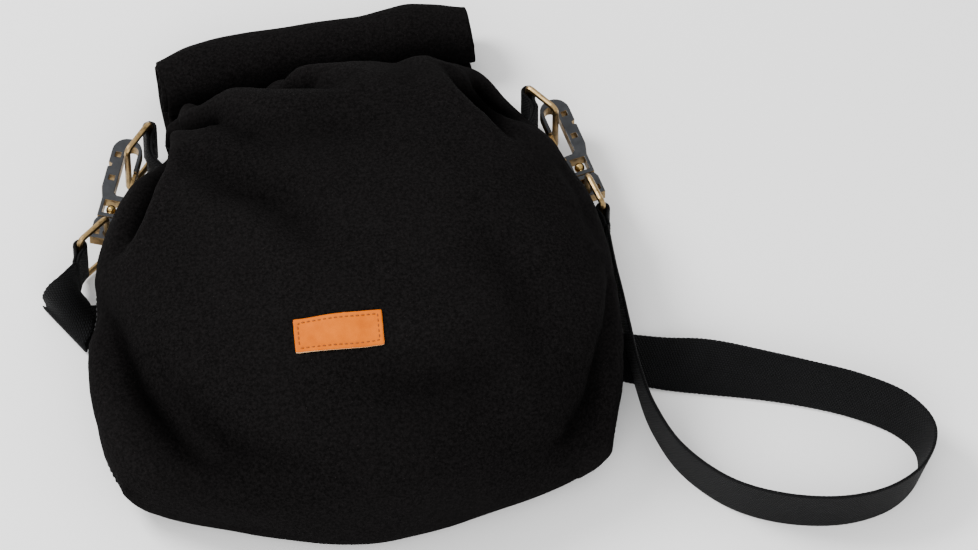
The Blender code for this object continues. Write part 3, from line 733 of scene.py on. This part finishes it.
LABEL_SIZE, LABEL_THICK = (47, 19), 1.4
LABEL_CENTRE, LABEL_TILT = (-16.9, -80.5), -0.5
LABEL_ROWS, LABEL_COLUMNS = 22, 52
LABEL_UNDER = 0.1                       # how far its underside is off the cloth
CORNER_REACH, CORNER_CUT = 1.2, 0.3     # how far from a corner its edges turn in, and by how much
RAGGED_DEPTH, RAGGED_SIZE = 0.16, 1.4
WAVE_HEIGHT, WAVE_SIZE = 0.25, 14
EDGE_DROP, EDGE_REACH = 0.3, 0.4
STITCH_INSET = 2.3
PRESSED_DEPTH, PRESSED_WIDTH = 0.22, 0.55
LABEL_STITCH_SINK = 0.12
LABEL_SIDE_POINTS = 24


def label_spot(tree, u, v):
    """Point and normal of the bag under the label's own u, v."""
    turn = radians(LABEL_TILT)
    x = LABEL_CENTRE[0] + u * cos(turn) - v * sin(turn)
    y = LABEL_CENTRE[1] + u * sin(turn) + v * cos(turn)
    return drop_on(tree, x, y)


def label_cover(tree):
    """Hand-cut leather that follows the bag, pressed in along its stitches."""
    width, height = LABEL_SIZE
    rows, columns = LABEL_ROWS, LABEL_COLUMNS
    points = np.zeros((rows + 1, columns + 1, 2, 3))
    for i in range(rows + 1):
        for j in range(columns + 1):
            u, v = width * (j / columns - 0.5), height * (i / rows - 0.5)
            ragged = RAGGED_DEPTH * noise.noise(Vector((u / RAGGED_SIZE, v / RAGGED_SIZE, 2)))
            if i in (0, rows):
                v += ragged - np.sign(v) * CORNER_CUT * max(0, 1 - (width / 2 - abs(u)) / CORNER_REACH)
            if j in (0, columns):
                u += ragged - np.sign(u) * CORNER_CUT * max(0, 1 - (height / 2 - abs(v)) / CORNER_REACH)
            spot, normal = label_spot(tree, u, v)
            edge = min(width / 2 - abs(u), height / 2 - abs(v))
            pressed = PRESSED_DEPTH * np.exp(-((edge - STITCH_INSET) / PRESSED_WIDTH) ** 2)
            rounded_edge = EDGE_DROP * np.exp(-max(edge, 0) / EDGE_REACH)
            wave = WAVE_HEIGHT * noise.noise(Vector((u / WAVE_SIZE, v / WAVE_SIZE, 5)))
            points[i, j, 0] = spot + normal * (LABEL_THICK + wave - pressed - rounded_edge)
            points[i, j, 1] = spot + normal * LABEL_UNDER
    faces, sides = sheet_faces(rows + 1, columns + 1)
    piece = mesh_piece("leather_label", points.transpose(2, 0, 1, 3).reshape(-1, 3), faces + sides)
    tidy_normals(piece)
    paint(piece, "leather")
    piece.data.materials.append(MATERIALS["leather_edge"])
    for polygon in list(piece.data.polygons)[len(faces):]:
        polygon.material_index = 1
    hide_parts("label")
    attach(piece, "bag")


def label_stitches(tree):
    half, rise = LABEL_SIZE[0] / 2 - STITCH_INSET, LABEL_SIZE[1] / 2 - STITCH_INSET
    corners = [(-half, -rise), (half, -rise), (half, rise), (-half, rise), (-half, -rise)]
    spots, normals = [], []
    for (u0, v0), (u1, v1) in zip(corners, corners[1:]):
        for share in np.linspace(0, 1, LABEL_SIDE_POINTS):
            spot, normal = label_spot(tree, u0 + (u1 - u0) * share, v0 + (v1 - v0) * share)
            spots.append(spot + normal * (LABEL_THICK - LABEL_STITCH_SINK))
            normals.append(normal)
    stitches("label_stitches", "tan_thread", spots, normals, length=1.9, radius=0.3, pitch=2.9)


# ---------------------------------------------------------------- neck and roll

ROLL_HALF = 85.5
ROLL_RADIUS, ROLL_CORE, ROLL_PITCH = 17.2, 3.6, 4.7
ROLL_CENTRE = (-9.4, 143.5, 18.4)
ROLL_TAIL = -15.0
ROLL_CLOTH = 1.9
ROLL_LAYERS = (("roll_outer_cloth", 0.0), ("roll_inner_cloth", -2.2))    # name, lift from the spiral
ROLL_COLUMNS, POINTS_A_TURN, TAIL_POINTS = 90, 56, 8
ROLL_STRETCH = 1.03      # the spiral is a little wider than it is high
# How far the roll swells along its length: (place along the roll, growth of its radius).
ROLL_SWELL = (
    (-86, 0.0), (-78, 0.06), (-70, 0.12), (-50, 0.15), (-22, 0.14), (2, 0.14),
    (28, 0.11), (41, 0.15), (54, 0.18), (71, 0.09), (82, 0.01), (86, 0.0),
)
ROLL_DRIFT = 17.0        # how far up the bag the swollen parts of the roll sit, for each unit of growth
# Lumps in the roll: (growth, size along the roll, how many round it).
ROLL_LUMPS = ((0.055, 46, 1.1), (0.02, 21, 2.6))
ROLL_PINCH, PINCH_POWER = 0.05, 9        # how far its ends are drawn in
FRAY, FRAY_TURN = 1.6, 1.7               # how far the cloth's ends wander, and over what turn of the roll
SLIP, SLIP_RATE = 1.3, 0.45              # how far its turns have slipped along each other
UNDER_SHARE = 0.3                        # how much of a lump's growth shows on the roll's underside


def roll_to_bag(points):
    """From the roll's own frame, X along it, to the bag's."""
    slope = atan2(NECK_SKEW, 1)
    turn = np.array(((cos(slope), sin(slope), 0), (-sin(slope), cos(slope), 0), (0, 0, 1)))
    return np.asarray(points) @ turn + np.array(ROLL_CENTRE)


def roll_line(lift):
    """A spiral that ends in a tail towards the bag, as points (y, z), and their angles round the roll."""
    turns = (ROLL_RADIUS - ROLL_CORE) / ROLL_PITCH
    share = np.linspace(0, 1, int(turns * POINTS_A_TURN))
    angle = -pi / 2 + 2 * pi * turns * (1 - share)
    radius = ROLL_CORE + (ROLL_RADIUS - ROLL_CORE) * share + lift
    line = np.stack([radius * np.cos(angle), radius * np.sin(angle)], axis=1)
    tail = np.stack([np.linspace(-1, ROLL_TAIL, TAIL_POINTS), np.full(TAIL_POINTS, line[-1, 1])], axis=1)
    return np.concatenate([line, tail]), np.concatenate([angle, np.full(TAIL_POINTS, -pi / 2)])


def roll_growth(across):
    """How much the roll has grown at each place across it, its corners smoothed."""
    places, growth = zip(*ROLL_SWELL)
    swell = np.interp(across * ROLL_HALF, places, growth)
    return np.convolve(np.pad(swell, 2, mode="edge"), np.ones(5) / 5, mode="valid")


def roll_shell(line, angle, lift):
    """One face of a layer: the line swept along the roll, with its lumps, swellings and uneven ends."""
    across = np.linspace(-1, 1, ROLL_COLUMNS + 1)
    swell = roll_growth(across)
    shell = np.zeros((len(line), ROLL_COLUMNS + 1, 3))
    for i, (y, z) in enumerate(line):
        round_y, round_z = cos(angle[i]), sin(angle[i])
        ragged = FRAY * noise.noise(Vector((angle[i] / FRAY_TURN, lift, 3)))
        slip = SLIP * sin(angle[i] * SLIP_RATE + lift)
        for j, a in enumerate(across):
            x = a * (ROLL_HALF + ragged) + slip
            scale = 1
            for growth, size, turn in ROLL_LUMPS:
                scale += growth * noise.noise(Vector((x / size, turn * round_y, turn * round_z)))
            scale -= ROLL_PINCH * abs(a) ** PINCH_POWER
            grow = swell[j]
            if i >= len(line) - TAIL_POINTS:
                scale, grow = 1, 0
            high = (z * scale if z > 0 else z * (1 + (scale - 1) * UNDER_SHARE)) + ROLL_RADIUS
            up_bag = y * scale * (1 + grow) * ROLL_STRETCH + ROLL_DRIFT * grow
            shell[i, j] = (x, up_bag, high * (1 + grow) - ROLL_RADIUS)
    return shell.reshape(-1, 3)


def roll_layer(name, lift):
    """One layer of cloth in the roll, with both of its faces."""
    line, angle = roll_line(lift)
    along = unit(np.gradient(line, axis=0))
    out = np.stack([-along[:, 1], along[:, 0]], axis=1)
    shells = [roll_shell(line + side * ROLL_CLOTH / 2 * out, angle, lift) for side in (-1, 1)]
    faces, sides = sheet_faces(len(line), ROLL_COLUMNS + 1)
    piece = mesh_piece(name, roll_to_bag(np.concatenate(shells)), faces + sides)
    tidy_normals(piece)
    paint(piece, "canvas")
    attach(piece, "roll_top")
    return piece


NECK = (
    # place along the bag from the roll's centre, half width, height of the top over the floor
    (-29, 82, 26), (-24, 83, 20), (-20, 84, 14), (-15, 84.5, 10.5),
    (-9, 84.5, 8.5), (-2, 84.5, 7), (4, 84, 5.5),
)
NECK_ROWS, NECK_COLUMNS = 40, 120
NECK_FLOOR, NECK_SHIFT = 0.6, 0.5
NECK_ROUND, NECK_RISE = 0.6, 0.45        # under 1 makes its section squarer than an ellipse
NECK_CREASE, CREASE_WIDTH, CREASE_LENGTH = 1.1, 9, 30


def neck_cover():
    """The flattened tube between the bag and the roll."""
    rows, columns = NECK_ROWS, NECK_COLUMNS
    low = NECK_FLOOR - ROLL_CENTRE[2]
    points = np.zeros((rows, columns, 3))
    for i, (y, half, top) in enumerate(smooth(NECK, np.linspace(0, len(NECK) - 1, rows))):
        high = top - ROLL_CENTRE[2]
        for j in range(columns):
            turn = 2 * pi * j / columns
            x = half * np.sign(cos(turn)) * abs(cos(turn)) ** NECK_ROUND
            rise = np.sign(sin(turn)) * abs(sin(turn)) ** NECK_RISE
            z = (high + low) / 2 + (high - low) / 2 * rise
            if rise > 0:
                z += NECK_CREASE * noise.noise(Vector((x / CREASE_WIDTH, y / CREASE_LENGTH, 4))) * rise
            points[i, j] = (x + NECK_SHIFT, y, z)
    piece = mesh_piece("neck_cover", roll_to_bag(points.reshape(-1, 3)), tube_faces(rows, columns))
    tidy_normals(piece)
    paint(piece, "canvas")
    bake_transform(piece)


# ---------------------------------------------------------------- webbing

WEBBING_STEP, FINE_POINTS = 1.3, 40
ACROSS_POINTS, SELVEDGE, SELVEDGE_STEP, SELVEDGE_SHARE = 24, 0.7, 0.15, 0.6
RIB_HEIGHT, RIB_PITCH = 0.012, 2.6       # the ribs at its edges: share of its width, millimetres
STEEPEST = 0.66          # a width askew to the path is lengthened to stay true, by 1 / this at most


def strap_rows():
    """The strap's path as rows of (x, y, z, direction of its width)."""
    rows = []
    route = np.array(STRAP_ROUTE, float)
    for k, row in enumerate(route):
        along = unit(route[min(k + 1, len(route) - 1)][:3] - route[max(k - 1, 0)][:3])
        outward = unit(np.cross(along, (0, 0, 1)))
        lean = radians(row[3])
        rows.append((*row[:3], *(np.array((0, 0, cos(lean))) + outward * sin(lean))))
    rows += [(*spot, *edge) for spot, edge in STRAP_TURN]
    return np.array(rows)


def even_path(rows, step):
    """Rows resampled at an even step along their first three columns."""
    fine = smooth(rows, np.linspace(0, len(rows) - 1, FINE_POINTS * len(rows)))
    run = np.concatenate([[0], np.cumsum(np.linalg.norm(np.diff(fine[:, :3], axis=0), axis=1))])
    count = int(run[-1] / step) + 1
    at = np.linspace(0, run[-1], count)
    return np.stack([np.interp(at, run, fine[:, k]) for k in range(fine.shape[1])], axis=1), run[-1]


def webbing_outline():
    """The strap's cross-section as (across, out) points: two flat faces and two rounded selvedges."""
    half, thin = STRAP_WIDTH / 2, STRAP_THICK / 2
    across = np.linspace(-half + SELVEDGE, half - SELVEDGE, ACROSS_POINTS)
    inner, low = half - SELVEDGE_STEP, thin * SELVEDGE_SHARE
    side = [(a, thin) for a in across] + [(inner, low), (half, 0), (inner, -low)]
    return np.array(side + [(-a, -out) for a, out in side])


def webbing_piece(name, rows):
    """A woven strap along rows of (x, y, z, width direction), with rounded selvedges."""
    path, length = even_path(rows, WEBBING_STEP)
    spots = path[:, :3]
    along = unit(np.gradient(spots, axis=0))
    side = unit(path[:, 3:6])
    face = np.cross(along, side)
    side = side / np.maximum(np.linalg.norm(face, axis=1, keepdims=True), STEEPEST)
    outline = webbing_outline()
    run = np.linspace(0, length, len(spots))
    ribs = 1 + RIB_HEIGHT * np.sin(2 * pi * run / RIB_PITCH)
    piece = swept(name, spots, side * ribs[:, None], unit(face), outline)
    paint(piece, "webbing")
    corner = np.zeros(len(piece.data.loops), dtype=int)
    piece.data.loops.foreach_get("vertex_index", corner)
    row, column = corner // len(outline), corner % len(outline)
    uv = np.stack([run[row], outline[column, 0]], axis=1) * MM
    piece.data.uv_layers.new(name="UVMap").data.foreach_set("uv", uv.ravel())
    return piece, spots, length


def shoulder_strap():
    piece, spots, length = webbing_piece("strap_webbing", strap_rows())
    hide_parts("shoulder_strap")
    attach(piece, "bag")


# ---------------------------------------------------------------- loops of webbing

WIRE_RADIUS, LOOP_GAP = 1.8, 0.4
LAYER_OFFSET, RUN_ON_SHARE = 1.0, 0.9   # from a loop's middle to each leg's, and its share further on
LEG_GAP, LEG_POINTS = 3, 4              # how far from the bend a leg begins
BEND_TURNS = range(50, 311, 20)         # degrees round the bar, from one leg to the other
STITCH_ROWS, STITCH_MARGIN, STITCH_POINTS = (1.2, 4.2), 2, 10
HARDWARE_Z = 22
# Each loop: the bar it goes round, the heading of its legs in degrees, their length,
# and the places that they run on to.
LOOPS = {
    "right_anchor_webbing": ((103.2, 101.3), -76, 11, ((103, 83), (97, 75), (90, 69))),
    "left_anchor_webbing": ((-103.5, 99.5), -94, 14, ((-103, 79), (-97, 71), (-90, 66))),
    "right_strap_end": ((135.15, 21.664), -84, 11, ()),
    "left_strap_end": ((-147.174, 27.038), -107, 11, ()),
}


def webbing_loop(name):
    """Webbing that comes up one leg, goes round the ring's bar and back down the other leg."""
    bar, heading, legs, ends = LOOPS[name]
    bar = np.array(bar)
    along = np.array((cos(radians(heading)), sin(radians(heading))))
    side = np.array((-along[1], along[0]))
    radius = WIRE_RADIUS + LOOP_GAP + STRAP_THICK / 2
    reaches = np.linspace(legs, radius + LEG_GAP, LEG_POINTS)
    up = [bar + along * reach + side * LAYER_OFFSET for reach in reaches]
    down = [spot - 2 * ((spot - bar) @ side) * side for spot in up[::-1]]
    up = [np.array(end) + side * LAYER_OFFSET * RUN_ON_SHARE for end in ends[::-1]] + up
    down += [np.array(end) - side * LAYER_OFFSET * RUN_ON_SHARE for end in ends]
    bend = [bar + radius * (cos(turn) * along + sin(turn) * side) for turn in np.radians(BEND_TURNS)]
    rows = np.array([(*spot, HARDWARE_Z, 0, 0, 1) for spot in up + bend + down], float)
    piece, _, _ = webbing_piece(f"{name}_cover", rows)
    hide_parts(name)
    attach(piece, "bag")
    loop_stitches(name, bar, along, side, legs)
    return piece


def loop_stitches(name, bar, along, side, legs):
    """Rows of stitches that close the loop, on both of its faces."""
    face = LAYER_OFFSET + STRAP_THICK / 2
    half = STRAP_WIDTH / 2 - STITCH_MARGIN
    for sign, word in ((1, "outer"), (-1, "inner")):
        for row, reach in enumerate(STITCH_ROWS):
            x, y = bar + along * (legs - reach) + side * sign * face
            heights = np.linspace(HARDWARE_Z - half, HARDWARE_Z + half, STITCH_POINTS)
            spots = [(x, y, z) for z in heights]
            normals = [(*(side * sign), 0)] * len(spots)
            stitches(f"{name}_stitches_{word}_{row}", "thread", spots, normals,
                     length=2.0, radius=0.3, pitch=2.8)


SEAM_COLUMN = 4                         # how many columns it runs under the widest line
SEAM_ROWS = range(6, COVER_ROWS - 12)   # it stops short of the base and the neck


def side_seams(cover):
    """The stitched seam that runs down each side of the bag, just under its widest line."""
    around = 2 * COVER_COLUMNS
    for name, column in (("right", around - SEAM_COLUMN), ("left", COVER_COLUMNS + SEAM_COLUMN)):
        picked = [cover.data.vertices[row * around + column] for row in SEAM_ROWS]
        spots = [vertex.co / MM for vertex in picked]
        normals = [vertex.normal for vertex in picked]
        stitches(f"{name}_side_seam", "thread", spots, normals, length=2.2, radius=0.32, pitch=3.2)


def main():
    make_camera()
    make_world()
    make_floor()
    for light in LIGHTS:
        make_light(*light)
    cover = bag_cover()
    tree = surface_tree(cover)
    label_cover(tree)
    label_stitches(tree)
    outer, _ = [roll_layer(name, lift) for name, lift in ROLL_LAYERS]
    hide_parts("roll_top")
    neck_cover()
    loops = {name: webbing_loop(name) for name in LOOPS}
    shoulder_strap()
    side_seams(cover)
    for name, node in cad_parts.items():
        paint(node, next(key for word, key in FINISHES.items() if word in name))


main()
